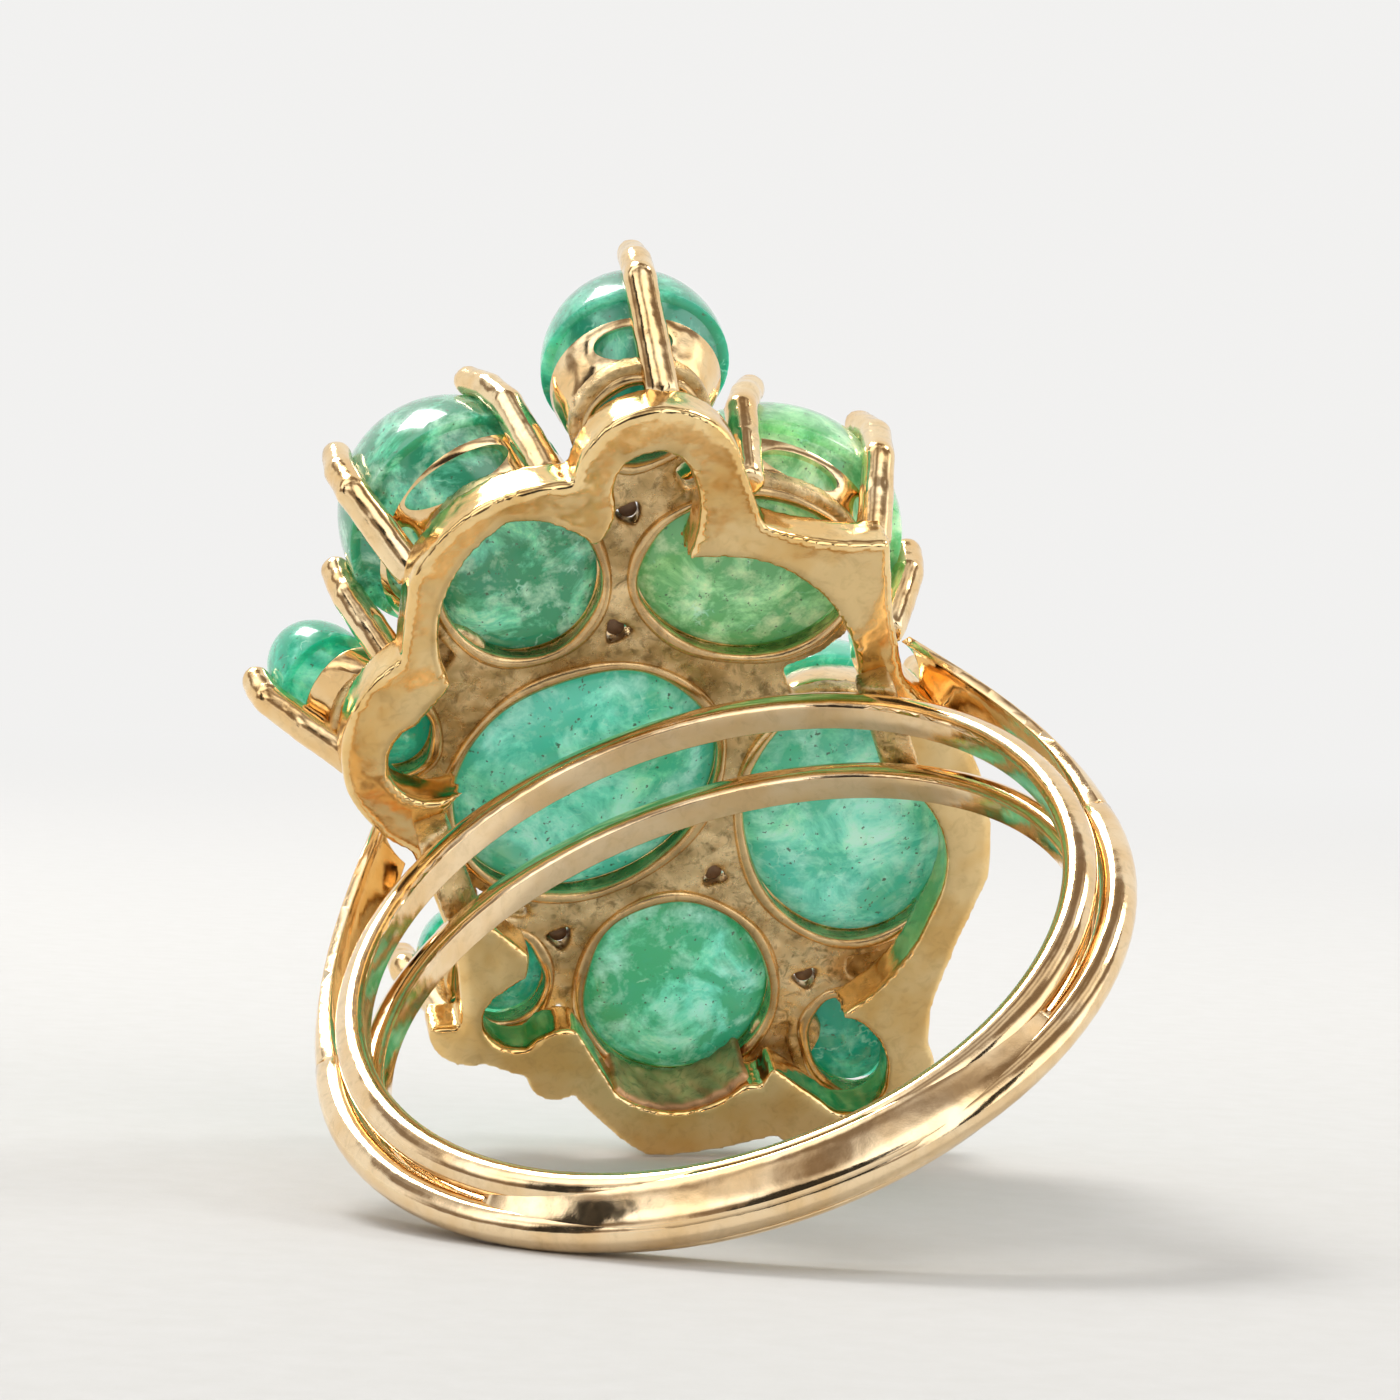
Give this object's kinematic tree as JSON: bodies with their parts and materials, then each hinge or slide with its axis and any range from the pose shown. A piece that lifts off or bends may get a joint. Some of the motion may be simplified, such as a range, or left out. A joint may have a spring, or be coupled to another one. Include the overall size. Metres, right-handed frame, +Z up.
{
  "type": "cocktail ring",
  "caption": "Cluster cocktail ring of domed green stones in prongs on a pierced plate and scalloped rail, with a shank of nested round wires.",
  "frame": {"origin": "point on the table under the middle of the ring's bounding box, with the ring lying on its shank and two lower lobes of its gallery rail", "axes": "+Z up from the table; +Y away from the palm side of the shank, along the level direction in which the back of the head is seen; +X to the right in that view"},
  "size_m": [0.0224, 0.0274, 0.024],
  "materials": {
    "polished_gold": "polished yellow gold with fine wear",
    "cast_gold": "satin as-cast yellow gold with patina in the recesses",
    "emerald": "polished translucent green stone with clouds and fractures"
  },
  "bodies": {
    "root": {"cabochon_top": "emerald", "collet_top": "polished_gold", "cabochon_upper_right": "emerald", "collet_upper_right": "polished_gold", "cabochon_upper_left": "emerald", "collet_upper_left": "polished_gold", "cabochon_centre_right": "emerald", "collet_centre_right": "polished_gold", "cabochon_centre_left": "emerald", "collet_centre_left": "polished_gold", "cabochon_bottom": "emerald", "collet_bottom": "polished_gold", "cabochon_side_right": "emerald", "collet_side_right": "polished_gold", "cabochon_lower_right": "emerald", "collet_lower_right": "polished_gold", "cabochon_lower_left": "emerald", "collet_lower_left": "polished_gold", "web_plate": "cast_gold", "gallery_rail": "polished_gold", "prong_top": "polished_gold", "prong_top_right": "polished_gold", "prong_top_left": "polished_gold", "prong_upper_right": "polished_gold", "prong_upper_left": "polished_gold", "prong_right_shoulder": "polished_gold", "prong_right": "polished_gold", "prong_left_shoulder": "polished_gold", "prong_left": "polished_gold", "prong_lower_left": "polished_gold", "prong_bottom_left": "polished_gold", "prong_bottom": "polished_gold", "prong_bottom_right": "polished_gold", "prong_lower_right": "polished_gold", "prong_far_right": "polished_gold", "inner_prong_1": "cast_gold", "inner_prong_2": "cast_gold", "inner_prong_3": "cast_gold", "inner_prong_4": "cast_gold", "inner_prong_5": "cast_gold", "hoop_front": "polished_gold", "hoop_back": "polished_gold", "outer_hoop": "polished_gold", "saddle_right": "polished_gold", "saddle_left": "polished_gold", "shoulder_leaf_right": "polished_gold", "shoulder_leaf_left": "polished_gold"}
  },
  "joints": []
}
